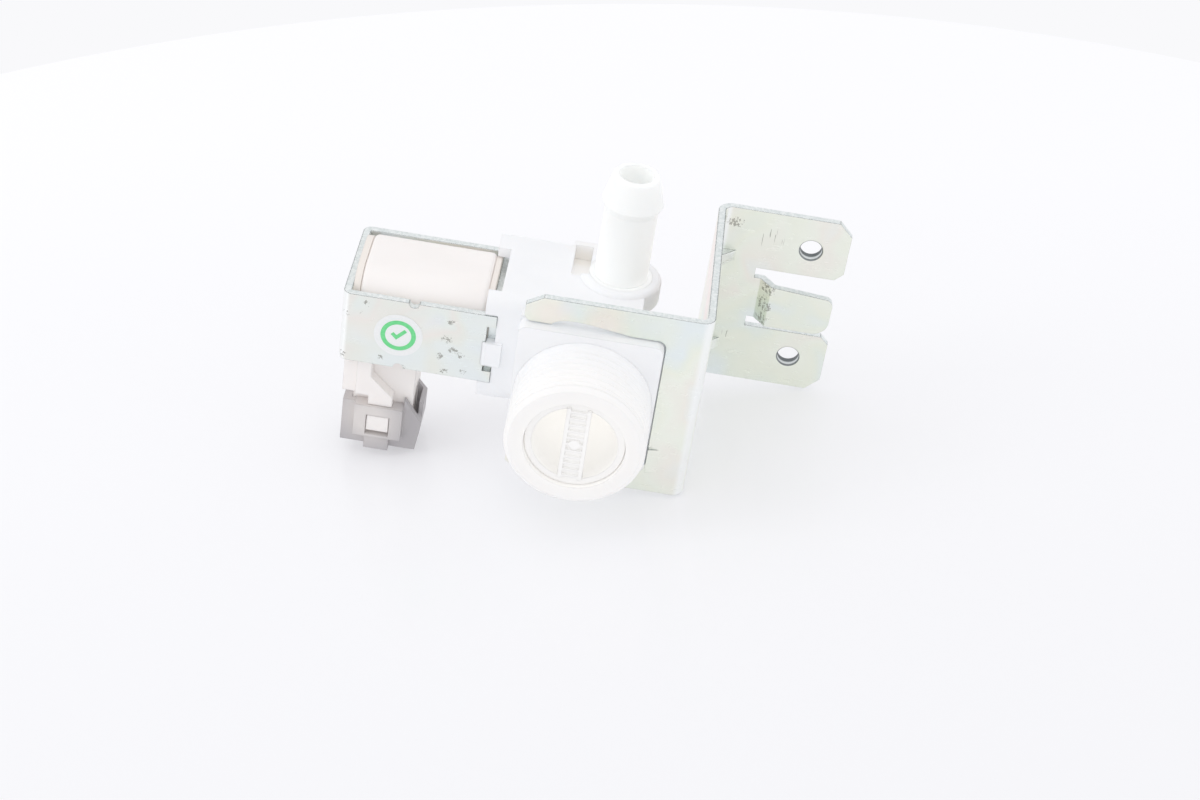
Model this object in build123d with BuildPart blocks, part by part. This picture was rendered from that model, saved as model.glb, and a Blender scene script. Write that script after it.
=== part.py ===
from build123d import *
import math
import os

os.makedirs("parts", exist_ok=True)

# Solenoid water inlet valve of a dishwasher, in millimetres.
# X runs along the coil's axis, towards the bracket. Y runs from the inlet's mouth to the back. Z is up.
# The origin is on the inlet's axis, in the front face of the square flange.

# Clearances
running_gap = 0.10
assembly_gap = 0.15

# Inlet collar with its pipe thread, and the flange that the bracket holds
thread_diameter = 26.44
collar_length = 14.6
collar_chamfer = 0.9
inlet_bore = 19.0
inlet_depth = 9.6
flange_width = 27.4
flange_height = 29.2
flange_proud = 2.0
flange_corner = 1.6
shoulder_width = 30.4
shoulder_thickness = 2.4
inlet_housing_diameter = 24.0

# Sheet steel bracket
sheet = 1.5
bracket_height = 40.6
arm_end_x = -13.0
arm_chamfer_x = 3.2
arm_chamfer_z = 2.0
arm_corner = 1.5
window_gap = 0.3
arch_middle_x = -0.25
arch_length = 15.1
arch_rise = 1.1
lip_height = 5.5
lip_middle_z = -12.8
lip_reach = 2.2
lip_proud = 0.6
web_outer_x = 22.2
plates_apart = 43.2
bend_inside_front = 0.9
bend_inside_rear = 1.6
rear_plate_end_x = 48.1
ear_chamfer_outer = 2.8
ear_chamfer_inner = 1.7
tongue_height = 9.4
tongue_slot = 2.4
slot_root_x = 30.4
joggle_setback = 1.4
joggle_run = 2.3
joggle_depth = 2.8
tongue_setback = 1.1
tongue_taper = 1.0
tongue_corner_top = 1.6
tongue_corner_bottom = 3.2
screw_hole = 4.5
screw_entry = 0.4
screw_spacing = 26.2
screw_edge = 7.55
screw_collar_wall = 0.75
screw_collar_depth = 1.1
dart_leg = 3.6
dart_width = 2.4
dart_upper_z = 9.3
dart_lower_z = -12.3

# Coil axis and magnetic yoke
coil_y = 24.1
strap_height = 15.4
strap_depth = 24.74
strap_closed_x = -48.35
strap_bend_inside = 0.2
strap_notch_depth = 1.7
strap_notch_height = 10.4
strap_mark_radius = 1.0
strap_mark_inset = 13.85
strap_mark_step = 2.0
end_plate_thickness = 1.5

# Diaphragm block and outlet side of the body
block_left_x = -20.9
block_right_x = -6.4
strap_proud = 0.17
block_edge = 2.5
rim_depth = 2.5
rim_wall = 2.05
rim_slot_width = 15.0
rim_slot_shift = -2.3
tab_height = 5.2
tab_offset_z = -0.9
tab_head_reach = 0.6
tab_proud = 0.45
outlet_right_x = 8.8
outlet_floor_z = -9.0
rear_wall = 1.5
rear_wall_end_x = 0.4
pocket_left_wall = 0.4
pocket_width = 3.4
pocket_depth = 3.2

# Hose nozzle and its boss
nozzle_x = 3.5
nozzle_behind_coil = 1.9
boss_diameter = 16.2
boss_proud = 0.7
boss_height = 4.5
boss_edge = 1.0
boss_column_diameter = 13.6
nozzle_bore = 6.6
nozzle_diameter = 10.4
nozzle_barb = 12.0
nozzle_tip = 9.0
nozzle_length = 22.5
barb_length = 5.8
barb_heel = 1.5
nozzle_foot_diameter = 12.4
nozzle_foot_height = 2.4

# Diaphragm, its chamber and the seat
chamber_wall = 2.8
ledge_inset = 8.9
ledge_width = 1.4
annulus_depth = 3.6
seat_outer = 10.8
seat_bore = 7.6
diaphragm_thickness = 1.2
diaphragm_bead = 2.0
diaphragm_bead_width = 1.3
insert_plate_diameter = 10.4
insert_plate = 0.9
insert_hub_diameter = 4.0
insert_nose_diameter = 2.0
insert_nose = 0.4
insert_flange_diameter = 6.2
insert_flange = 0.8
insert_fin_length = 4.0
insert_fin = 0.8
pilot_hole = 0.9
gallery_height = 6.0
gallery_left = 13.6

# Guide tube and armature
tube_flange_wall = 1.7
tube_cup_wall = 2.0
tube_diameter = 10.0
tube_wall = 0.95
tube_end_wall = 1.0
tube_end_inset = 0.55
armature_stroke = 2.5
armature_end_gap = 0.4
armature_groove = 1.0
armature_pocket_wall = 1.35
armature_pocket_depth = 9.0
armature_nose_setback = 0.5
tip_diameter = 3.2
tip_depth = 3.0
spring_wire = 0.5
spring_gap = 0.4
spring_turns = 7

# Coil
bobbin_wall = 0.75
bobbin_inset = 0.4
bobbin_flange_left = 1.35
bobbin_flange_right = 1.1
coil_skin = 1.35
coil_proud = 0.25
coil_corner = 7.0
coil_edge = 1.0
bush_wall = 1.05
bush_length = 8.4

# Terminal shroud and plug
shroud_inset = 3.15
shroud_width = 12.0
shroud_forward = 8.2
shroud_wall = 0.9
shroud_length = 16.2
shroud_roof_drop = 2.2
cheek_inset = 1.05
cheek_step = 3.75
cheek_setback = 0.8
cheek_drop = 6.4
relief_proud = 2.4
relief_lip = 0.2
relief_step_run = 3.5
relief_step_drop = 1.8
relief_post_run = 8.1
relief_post_drop = 6.2
latch_run = 5.6
latch_width = 4.4
latch_height = 3.9
latch_lead = 0.3
latch_above_end = 5.3
latch_proud = 2.8
terminal_width = 6.3
terminal_thickness = 0.8
terminal_pitch = 5.8
terminal_recess = 1.6
terminal_hole = 1.6
core_wall = 0.45
plug_under = 2.6
plug_floor = 2.2
plug_front_wall = 1.1
plug_left_wall = 1.65
plug_right_wall = 1.0
plug_overlap = 7.3
plug_overlap_rear = 3.1
plug_collar_depth = 7.85
plug_cheek_reach = 2.0
plug_cheek_wall = 0.8
plug_cheek_rise = 2.1
plug_cheek_floor = 1.6
plug_notch_run = 1.6
plug_notch_depth = 2.0
plug_notch_fall = 5.0
plug_corner_cut = 0.7
plug_corner_rise = 5.0
latch_frame_width = 9.65
latch_frame_height = 7.5
latch_frame_above = 7.6
latch_frame_proud = 1.7
latch_window_margin = 0.15
latch_gap_below = 0.65
latch_foot_drop = 0.4
latch_foot_width = 4.9
latch_foot_setback = 0.5
contact_wall = 0.35
contact_length = 9.0
wire_hole = 3.0

# Strainer and flow regulator
strainer_ring_wall = 1.3
strainer_ring_length = 2.4
strainer_setback = 1.0
strainer_wall = 0.6
strainer_length = 15.0
strainer_tip_diameter = 11.0
strainer_ribs = 6
strainer_rib = 0.9
bar_width = 4.6
bar_thickness = 1.6
bar_rail = 0.8
bar_rail_proud = 0.4
bar_rungs = 11
bar_rung = 0.5
bar_dot_diameter = 2.2
holder_thickness = 3.0
holder_recess = 1.9
holder_ports = 6
holder_port_diameter = 2.0
holder_port_circle = 14.6
holder_centre_hole = 4.0
washer_diameter = 11.0
washer_hole = 3.4
washer_thickness = 1.8

# Round label
label_diameter = 9.5
label_thickness = 0.15
label_inset = 11.35

# Sizes and places that follow from the values above
thread_radius = thread_diameter / 2
bore_radius = inlet_bore / 2
rim_y = -collar_length
plate_front_y = flange_proud
plate_back_y = plate_front_y + sheet
shoulder_y = plate_back_y + running_gap
rear_plate_y = plate_front_y + plates_apart
rear_plate_back_y = rear_plate_y + sheet
window_half_x = flange_width / 2 + window_gap
window_half_z = flange_height / 2 + window_gap
half_height = bracket_height / 2
arm_width = half_height - window_half_z
joggle_root_x = slot_root_x + joggle_setback
joggle_foot_x = joggle_root_x + joggle_run
tongue_end_x = rear_plate_end_x - tongue_setback
screw_x = rear_plate_end_x - screw_edge

strap_front_y = coil_y - strap_depth / 2
strap_back_y = coil_y + strap_depth / 2
leg_inner_front_y = strap_front_y + sheet
leg_inner_back_y = strap_back_y - sheet
strap_half = strap_height / 2
strap_web_inner_x = strap_closed_x + sheet
strap_mark_x = strap_closed_x + strap_mark_inset
label_x = strap_closed_x + label_inset

block_half = strap_depth / 2 - strap_proud
block_front_y = coil_y - block_half
block_back_y = coil_y + block_half
rim_cavity_half = block_half - rim_wall
rim_floor_x = block_left_x + rim_depth
strap_open_x = rim_floor_x - running_gap
end_plate_left_x = rim_floor_x - end_plate_thickness
boss_top_z = block_half + boss_proud
nozzle_y = coil_y + nozzle_behind_coil
nozzle_seat_z = boss_top_z - nozzle_foot_height
nozzle_top_z = boss_top_z + nozzle_length
barb_widest_z = nozzle_top_z - barb_length
barb_foot_z = barb_widest_z - barb_heel

chamber_diameter = 2 * (block_half - chamber_wall)
ledge_x = block_left_x + ledge_inset
annulus_x = ledge_x + annulus_depth
annulus_diameter = chamber_diameter - 2 * ledge_width
bead_face_x = ledge_x - diaphragm_bead
diaphragm_face_x = ledge_x - diaphragm_thickness
insert_face_x = diaphragm_face_x - insert_plate
nose_x = insert_face_x - insert_nose

tube_end_x = strap_closed_x + tube_end_inset
tube_inner_end_x = tube_end_x + tube_end_wall
tube_bore = tube_diameter - 2 * tube_wall
tube_cavity_diameter = chamber_diameter - 2 * tube_cup_wall
armature_front_x = nose_x - armature_nose_setback
armature_back_x = tube_inner_end_x + armature_stroke + armature_end_gap
armature_length = armature_front_x - armature_back_x
armature_radius = tube_bore / 2 - running_gap
armature_pocket_radius = armature_radius - armature_pocket_wall
spring_diameter = 2 * (armature_pocket_radius - spring_gap)

bobbin_left_x = strap_web_inner_x
bobbin_right_x = end_plate_left_x
bobbin_bore = tube_diameter + 2 * (assembly_gap + bush_wall + running_gap)
coil_left_x = bobbin_left_x + bobbin_flange_left
coil_right_x = bobbin_right_x - bobbin_flange_right
coil_half_depth = strap_depth / 2 - sheet - assembly_gap
coil_half_height = rim_cavity_half + coil_proud
bobbin_half_depth = coil_half_depth - bobbin_inset
bobbin_half_height = coil_half_height - bobbin_inset
winding_diameter = 2 * (coil_half_depth - coil_skin)

shroud_left_x = strap_closed_x + shroud_inset
shroud_right_x = shroud_left_x + shroud_width
shroud_middle_x = (shroud_left_x + shroud_right_x) / 2
shroud_front_y = coil_y - shroud_forward
contact_side = contact_wall + 2 * running_gap
shroud_depth = terminal_width + 2 * (contact_side + core_wall + assembly_gap + shroud_wall)
shroud_back_y = shroud_front_y + shroud_depth
shroud_bottom_z = -coil_half_height - shroud_length
shroud_roof_z = -coil_half_height - shroud_roof_drop
cheek_left_x = strap_closed_x + cheek_inset
cheek_step_x = strap_closed_x + cheek_step
cheek_bottom_z = -coil_half_height - cheek_drop
relief_step_x = shroud_left_x + relief_step_run
relief_step_z = -coil_half_height - relief_step_drop
relief_post_x = shroud_left_x + relief_post_run
relief_post_z = -coil_half_height - relief_post_drop
relief_y = shroud_front_y - relief_proud
latch_x = shroud_left_x + latch_run
latch_top_z = shroud_bottom_z + latch_above_end
terminal_y = (shroud_front_y + shroud_back_y) / 2
terminal_xs = [shroud_middle_x - terminal_pitch / 2, shroud_middle_x + terminal_pitch / 2]
terminal_top_z = -winding_diameter / 2 - 2 * running_gap
terminal_bottom_z = shroud_bottom_z + terminal_recess

plug_front_y = shroud_front_y - assembly_gap - plug_front_wall
plug_back_y = shroud_back_y + assembly_gap + plug_front_wall
plug_left_x = shroud_left_x - assembly_gap - plug_left_wall
plug_right_x = shroud_right_x + plug_cheek_reach
plug_bottom_z = shroud_bottom_z - plug_under
plug_rim_z = shroud_bottom_z + plug_overlap
plug_cheek_z = plug_rim_z + plug_cheek_rise
frame_front_y = plug_front_y - latch_frame_proud
frame_right_x = latch_x + latch_frame_width / 2
latch_frame_top_z = shroud_bottom_z + latch_frame_above

strainer_front_y = rim_y + strainer_setback
strainer_ring_y = strainer_front_y + strainer_ring_length
holder_back_y = inlet_depth
holder_front_y = holder_back_y - holder_thickness


def facing(y):
    """Plane square to the inlet's axis at depth y, seen from the front: its X and Y are the part's X and Z."""
    return Plane.XZ.offset(-y)


def across(x):
    """Plane square to the coil's axis at x: its X and Y are the part's Y and Z."""
    return Plane.YZ.offset(x)


# Mounting bracket: one strip of sheet, folded back round the valve's side and out again to the screw holes.
with BuildPart() as mounting_bracket:
    with BuildSketch(Plane.XY.offset(-half_height)) as folded:
        with BuildLine():
            Polyline(
                (arm_end_x, plate_front_y),
                (web_outer_x, plate_front_y),
                (web_outer_x, rear_plate_y),
                (rear_plate_end_x, rear_plate_y),
                (rear_plate_end_x, rear_plate_back_y),
                (web_outer_x - sheet, rear_plate_back_y),
                (web_outer_x - sheet, plate_back_y),
                (arm_end_x, plate_back_y),
                close=True,
            )
        make_face()
        corners = folded.vertices()
        fillet(corners.sort_by_distance((web_outer_x, plate_front_y, -half_height))[0], bend_inside_front + sheet)
        corners = folded.vertices()
        fillet(corners.sort_by_distance((web_outer_x - sheet, plate_back_y, -half_height))[0], bend_inside_front)
        corners = folded.vertices()
        fillet(corners.sort_by_distance((web_outer_x, rear_plate_y, -half_height))[0], bend_inside_rear)
        corners = folded.vertices()
        fillet(
            corners.sort_by_distance((web_outer_x - sheet, rear_plate_back_y, -half_height))[0],
            bend_inside_rear + sheet,
        )
    extrude(amount=bracket_height)

    # Window that the flange slides into from the left, with a shallow arch in each arm
    with BuildSketch(facing(plate_front_y - sheet)) as window:
        with Locations(((arm_end_x - sheet + window_half_x) / 2, 0)):
            Rectangle(window_half_x - arm_end_x + sheet, 2 * window_half_z)
        fillet(window.vertices().group_by(Axis.X)[-1], flange_corner)
        for side in (1, -1):
            with BuildLine():
                arch_left_x = arch_middle_x - arch_length / 2
                arch_right_x = arch_middle_x + arch_length / 2
                edge_z = side * (window_half_z - sheet / 2)
                Polyline(
                    (arch_right_x, side * window_half_z),
                    (arch_right_x, edge_z),
                    (arch_left_x, edge_z),
                    (arch_left_x, side * window_half_z),
                )
                Bezier(
                    (arch_left_x, side * window_half_z),
                    (arch_left_x + arch_length / 8, side * (window_half_z + 2 * arch_rise)),
                    (arch_middle_x, side * (window_half_z + arch_rise)),
                    (arch_right_x, side * window_half_z),
                )
            make_face()
    extrude(amount=-3 * sheet, mode=Mode.SUBTRACT)

    # Ends of the two arms
    arm_end_cut = min(arm_chamfer_z, arm_width / 2)
    with BuildSketch(facing(plate_front_y - sheet)):
        for side in (1, -1):
            with BuildLine():
                Polyline(
                    (arm_end_x, side * half_height),
                    (arm_end_x + arm_chamfer_x, side * half_height),
                    (arm_end_x, side * (half_height - arm_end_cut)),
                    close=True,
                )
            make_face()
    extrude(amount=-3 * sheet, mode=Mode.SUBTRACT)
    arm_edges = mounting_bracket.edges().filter_by(Axis.Y).group_by(Axis.X)[0]
    inner_edges = [edge for edge in arm_edges if abs(edge.center().Z) < window_half_z + sheet]
    fillet(inner_edges, min(arm_corner, arm_width / 3))

    # Lip pressed up beside the window, which bites on the flange
    with BuildSketch(Plane.XY.offset(lip_middle_z - lip_height / 2)):
        with BuildLine():
            Polyline(
                (window_half_x, plate_front_y + sheet / 2),
                (window_half_x, plate_front_y - lip_proud),
                (window_half_x + lip_reach, plate_front_y),
                (window_half_x + lip_reach, plate_front_y + sheet / 2),
                close=True,
            )
        make_face()
    extrude(amount=lip_height)

    # Slots that free the tongue, and the room behind the joggle
    with BuildSketch(facing(rear_plate_y - sheet)):
        with Locations(((slot_root_x + rear_plate_end_x + sheet) / 2, 0)):
            Rectangle(rear_plate_end_x + sheet - slot_root_x, tongue_height + 2 * tongue_slot)
    extrude(amount=-3 * sheet, mode=Mode.SUBTRACT)

    # Ears with cut corners
    with BuildSketch(facing(rear_plate_y - sheet)):
        for side in (1, -1):
            inner_z = tongue_height / 2 + tongue_slot
            with BuildLine():
                Polyline(
                    (rear_plate_end_x, side * half_height),
                    (rear_plate_end_x - ear_chamfer_outer, side * half_height),
                    (rear_plate_end_x, side * (half_height - ear_chamfer_outer)),
                    close=True,
                )
            make_face()
            with BuildLine():
                Polyline(
                    (rear_plate_end_x, side * inner_z),
                    (rear_plate_end_x - ear_chamfer_inner, side * inner_z),
                    (rear_plate_end_x, side * (inner_z + ear_chamfer_inner)),
                    close=True,
                )
            make_face()
    extrude(amount=-3 * sheet, mode=Mode.SUBTRACT)

    # Tongue, set forward by a joggle, with a falling upper edge and a rounded end
    with BuildSketch(Plane.XY.offset(-tongue_height / 2)):
        with BuildLine():
            Polyline(
                (slot_root_x - sheet, rear_plate_y),
                (joggle_root_x, rear_plate_y),
                (joggle_foot_x, rear_plate_y - joggle_depth),
                (tongue_end_x, rear_plate_y - joggle_depth),
                (tongue_end_x, rear_plate_back_y - joggle_depth),
                (joggle_foot_x + sheet / 2, rear_plate_back_y - joggle_depth),
                (joggle_root_x + sheet / 2, rear_plate_back_y),
                (slot_root_x - sheet, rear_plate_back_y),
                close=True,
            )
        make_face()
    extrude(amount=tongue_height)
    with BuildSketch(facing(rear_plate_y - joggle_depth - sheet)):
        with BuildLine():
            Polyline(
                (joggle_foot_x, tongue_height / 2),
                (tongue_end_x + sheet, tongue_height / 2),
                (tongue_end_x + sheet, tongue_height / 2 - tongue_taper),
                (tongue_end_x, tongue_height / 2 - tongue_taper),
                close=True,
            )
        make_face()
    extrude(amount=-(joggle_depth + sheet), mode=Mode.SUBTRACT)
    end_edges = (
        mounting_bracket.edges()
        .filter_by(Axis.Y)
        .filter_by_position(Axis.X, tongue_end_x - running_gap, tongue_end_x + running_gap)
        .sort_by(Axis.Z)
    )
    fillet(end_edges[0], tongue_corner_bottom)
    end_edges = (
        mounting_bracket.edges()
        .filter_by(Axis.Y)
        .filter_by_position(Axis.X, tongue_end_x - running_gap, tongue_end_x + running_gap)
        .sort_by(Axis.Z)
    )
    fillet(end_edges[-1], tongue_corner_top)

    # Screw holes, drawn to the back so that a screw finds a full thread
    with BuildSketch(facing(rear_plate_y)):
        with Locations((screw_x, screw_spacing / 2), (screw_x, -screw_spacing / 2)):
            Circle(screw_hole / 2 + screw_collar_wall)
    extrude(amount=-(sheet + screw_collar_depth))
    with BuildSketch(facing(rear_plate_y - sheet)):
        with Locations((screw_x, screw_spacing / 2), (screw_x, -screw_spacing / 2)):
            Circle(screw_hole / 2)
    extrude(amount=-(3 * sheet + screw_collar_depth), mode=Mode.SUBTRACT)

    entries = (
        mounting_bracket.edges()
        .filter_by(GeomType.CIRCLE)
        .filter_by_position(Axis.Y, rear_plate_y - running_gap, rear_plate_y + running_gap)
        .filter_by_position(Axis.X, screw_x - screw_hole, screw_x + screw_hole)
    )
    fillet(entries, min(screw_entry, sheet / 2))

    # Darts pressed into the rear bend, which stiffen it
    for dart_z in (dart_upper_z, dart_lower_z):
        with BuildSketch(Plane.XY.offset(dart_z - dart_width / 2)):
            with BuildLine():
                Polyline(
                    (web_outer_x - sheet / 2, rear_plate_y - dart_leg),
                    (web_outer_x, rear_plate_y - dart_leg),
                    (web_outer_x + dart_leg, rear_plate_y),
                    (web_outer_x + dart_leg, rear_plate_y + sheet / 2),
                    (web_outer_x - sheet / 2, rear_plate_y + sheet / 2),
                    close=True,
                )
            make_face()
        extrude(amount=dart_width)
mounting_bracket.part.label = "mounting_bracket"
export_step(mounting_bracket.part, "parts/mounting_bracket.step")


# Valve body: collar, flange, inlet housing, diaphragm block and outlet side in one moulding.
with BuildPart() as valve_body:
    with BuildSketch(facing(rim_y)):
        Circle(thread_radius)
    extrude(amount=-collar_length)
    chamfer(valve_body.faces().sort_by(Axis.Y)[0].edges(), collar_chamfer)

    with BuildSketch(facing(0)):
        RectangleRounded(flange_width, flange_height, flange_corner)
    extrude(amount=-(shoulder_y + shoulder_thickness))

    # Shoulder behind the bracket's plate, open on the side that slides in
    with BuildSketch(facing(shoulder_y)):
        with Locations(((shoulder_width - flange_width) / 4, 0)):
            Rectangle((shoulder_width + flange_width) / 2, flange_height)
    extrude(amount=-shoulder_thickness)

    with BuildSketch(facing(shoulder_y)):
        Circle(inlet_housing_diameter / 2)
        with Locations((-gallery_left / 2, 0)):
            Rectangle(gallery_left, inlet_housing_diameter * 0.8)
    extrude(amount=-(block_front_y + block_edge - shoulder_y))

    # Diaphragm block with rounded long edges
    with BuildSketch(across(block_left_x)):
        with Locations((coil_y, 0)):
            RectangleRounded(2 * block_half, 2 * block_half, block_edge)
    extrude(amount=block_right_x - block_left_x)

    # Outlet side: plain box in front, thin wall at the rear, round column under the nozzle
    with BuildSketch(Plane.XY.offset(outlet_floor_z)):
        with Locations(((block_right_x + outlet_right_x) / 2, (block_front_y + nozzle_y) / 2)):
            Rectangle(outlet_right_x - block_right_x, nozzle_y - block_front_y)
        with Locations(((block_right_x + rear_wall_end_x) / 2, block_back_y - rear_wall / 2)):
            Rectangle(rear_wall_end_x - block_right_x, rear_wall)
        with Locations((nozzle_x, nozzle_y)):
            Circle(boss_column_diameter / 2)
        with Locations(((block_right_x + nozzle_x) / 2, (nozzle_y + block_back_y) / 2)):
            Rectangle(nozzle_x - block_right_x, block_back_y - nozzle_y)
    extrude(amount=block_half - outlet_floor_z)
    with BuildSketch(Plane.XZ.offset(-nozzle_y)) as boss:
        with Locations((nozzle_x + boss_diameter / 4, boss_top_z - boss_height / 2)):
            Rectangle(boss_diameter / 2, boss_height)
        fillet(boss.vertices().sort_by_distance((nozzle_x + boss_diameter, nozzle_y, boss_top_z))[0], boss_edge)
    revolve(axis=Axis((nozzle_x, nozzle_y, 0), (0, 0, 1)))

    # Moulding pocket between the block and the boss
    with BuildSketch(Plane.XY.offset(boss_top_z)):
        pocket_left_x = block_right_x + pocket_left_wall
        pocket_back_y = block_back_y - rear_wall
        with Locations((pocket_left_x + pocket_width / 2, (coil_y + pocket_back_y) / 2)):
            Rectangle(pocket_width, pocket_back_y - coil_y)
    extrude(amount=block_half - boss_top_z - pocket_depth, mode=Mode.SUBTRACT)

    # Rim round the coil's end: cavity for the bobbin flange and end plate, seats for the yoke legs, top slot
    with BuildSketch(across(block_left_x)):
        with Locations((coil_y, 0)):
            Rectangle(2 * (leg_inner_back_y - coil_y), 2 * rim_cavity_half)
            Rectangle(4 * block_half, strap_height + 2 * assembly_gap)
        with Locations((coil_y + rim_slot_shift, rim_cavity_half)):
            Rectangle(rim_slot_width, rim_cavity_half)
    extrude(amount=rim_depth, mode=Mode.SUBTRACT)

    # Tabs that stand in the notches of the yoke legs, with heads that hook over the steel
    for face_y, outward in ((strap_front_y, -1), (strap_back_y, 1)):
        stem_left_x = strap_open_x - strap_notch_depth + assembly_gap
        head_left_x = strap_open_x - strap_notch_depth - tab_head_reach
        head_y = face_y + outward * (running_gap + tab_proud)
        stem_root_y = face_y - outward * sheet
        with BuildSketch(Plane.XY.offset(tab_offset_z - tab_height / 2)):
            with BuildLine():
                Polyline(
                    (rim_floor_x, stem_root_y),
                    (stem_left_x, stem_root_y),
                    (stem_left_x, face_y + outward * running_gap),
                    (head_left_x, face_y + outward * running_gap),
                    (stem_left_x, head_y),
                    (rim_floor_x + sheet, head_y),
                    (rim_floor_x + sheet, stem_root_y),
                    close=True,
                )
            make_face()
        extrude(amount=tab_height)

    # Waterways: inlet bore, gallery to the ring chamber, diaphragm chamber, seat and outlet passage
    with BuildSketch(facing(rim_y)):
        Circle(bore_radius)
    extrude(amount=-(inlet_depth - rim_y), mode=Mode.SUBTRACT)
    with Locations(Location((rim_floor_x, coil_y, 0), (0, 90, 0))):
        Cylinder(
            chamber_diameter / 2,
            ledge_x - rim_floor_x,
            align=(Align.CENTER, Align.CENTER, Align.MIN),
            mode=Mode.SUBTRACT,
        )
    with BuildSketch(across(annulus_x)):
        with Locations((coil_y, 0)):
            Circle(annulus_diameter / 2)
            Circle(seat_outer / 2, mode=Mode.SUBTRACT)
    extrude(amount=ledge_x - annulus_x, mode=Mode.SUBTRACT)
    with BuildSketch(Plane.XY.offset(-gallery_height / 2)):
        with BuildLine():
            gallery_back_y = coil_y - seat_outer / 2 - sheet
            Polyline(
                (0, inlet_depth - sheet),
                (0, inlet_depth + sheet),
                (annulus_x, gallery_back_y),
                (ledge_x + sheet, gallery_back_y),
                (ledge_x + sheet, inlet_depth + sheet),
                (-bore_radius + sheet, inlet_depth - sheet),
                close=True,
            )
        make_face()
    extrude(amount=gallery_height, mode=Mode.SUBTRACT)
    with Locations(Location((ledge_x - sheet, coil_y, 0), (0, 90, 0))):
        Cylinder(
            seat_bore / 2,
            nozzle_x - ledge_x + sheet,
            align=(Align.CENTER, Align.CENTER, Align.MIN),
            mode=Mode.SUBTRACT,
        )
    with Locations(Location((nozzle_x, nozzle_y, -seat_bore / 2))):
        Cylinder(
            nozzle_bore / 2,
            block_half + seat_bore,
            align=(Align.CENTER, Align.CENTER, Align.MIN),
            mode=Mode.SUBTRACT,
        )
    with Locations(Location((nozzle_x, nozzle_y, nozzle_seat_z))):
        Cylinder(
            nozzle_foot_diameter / 2,
            2 * nozzle_foot_height,
            align=(Align.CENTER, Align.CENTER, Align.MIN),
            mode=Mode.SUBTRACT,
        )
valve_body.part.label = "valve_body"
export_step(valve_body.part, "parts/valve_body.step")


# Hose nozzle, turned about its own upright axis and welded into the boss.
with BuildPart() as outlet_nozzle:
    with BuildSketch(Plane.XZ.offset(-nozzle_y)):
        with BuildLine():
            Polyline(
                (nozzle_x + nozzle_bore / 2, nozzle_seat_z),
                (nozzle_x + nozzle_foot_diameter / 2, nozzle_seat_z),
                (nozzle_x + nozzle_foot_diameter / 2, boss_top_z),
                (nozzle_x + nozzle_diameter / 2, boss_top_z),
                (nozzle_x + nozzle_diameter / 2, barb_foot_z),
                (nozzle_x + nozzle_barb / 2, barb_widest_z),
                (nozzle_x + nozzle_tip / 2, nozzle_top_z),
                (nozzle_x + nozzle_bore / 2, nozzle_top_z),
                close=True,
            )
        make_face()
    revolve(axis=Axis((nozzle_x, nozzle_y, 0), (0, 0, 1)))
    tip_edges = outlet_nozzle.faces().sort_by(Axis.Z)[-1].edges()
    fillet(tip_edges.sort_by(SortBy.RADIUS)[-1], (nozzle_tip - nozzle_bore) / 6)
outlet_nozzle.part.label = "outlet_nozzle"
export_step(outlet_nozzle.part, "parts/outlet_nozzle.step")


# Strainer: conical basket on a ring, with a laddered pull bar across the mouth.
with BuildPart() as inlet_strainer:
    ring_radius = bore_radius - assembly_gap
    cone_end_y = strainer_ring_y + strainer_length
    with BuildSketch(Plane.XY):
        with BuildLine():
            Polyline(
                (ring_radius - strainer_ring_wall, strainer_front_y),
                (ring_radius, strainer_front_y),
                (ring_radius, strainer_ring_y),
                (ring_radius - strainer_wall, strainer_ring_y),
                (strainer_tip_diameter / 2, cone_end_y),
                (0, cone_end_y),
                (0, cone_end_y - strainer_wall),
                (strainer_tip_diameter / 2 - strainer_wall, cone_end_y - strainer_wall),
                (ring_radius - strainer_ring_wall, strainer_ring_y),
                close=True,
            )
        make_face()
    revolve(axis=Axis.Y)
    # Ribs down the outside of the cone
    with BuildSketch(Plane.XY.offset(-strainer_rib / 2)):
        with BuildLine():
            Polyline(
                (ring_radius - 1.5 * strainer_wall, strainer_ring_y - strainer_wall),
                (ring_radius - strainer_wall / 2, strainer_ring_y - strainer_wall),
                (strainer_tip_diameter / 2 + strainer_wall, cone_end_y - strainer_wall / 2),
                (strainer_tip_diameter / 2 - strainer_wall / 2, cone_end_y - strainer_wall / 2),
                close=True,
            )
        make_face()
    rib = extrude(amount=strainer_rib, mode=Mode.PRIVATE)
    for turn in range(strainer_ribs):
        add(rib.rotate(Axis.Y, turn * 360 / strainer_ribs + 180 / strainer_ribs))
    # Pull bar with side rails, rungs and a round dot in the middle
    with BuildSketch(facing(strainer_front_y)):
        Rectangle(bar_width, 2 * (ring_radius - strainer_ring_wall / 2))
    extrude(amount=-bar_thickness)
    with BuildSketch(facing(strainer_front_y)) as ladder:
        rail_x = (bar_width - bar_rail) / 2
        rail_length = 2 * (ring_radius - strainer_ring_wall)
        with Locations((rail_x, 0), (-rail_x, 0)):
            Rectangle(bar_rail, rail_length)
        with GridLocations(0, rail_length / bar_rungs, 1, bar_rungs):
            Rectangle(bar_width - 2 * bar_rail, bar_rung)
        Circle(bar_dot_diameter / 2)
    extrude(amount=bar_rail_proud)
inlet_strainer.part.label = "inlet_strainer"
export_step(inlet_strainer.part, "parts/inlet_strainer.step")


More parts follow.
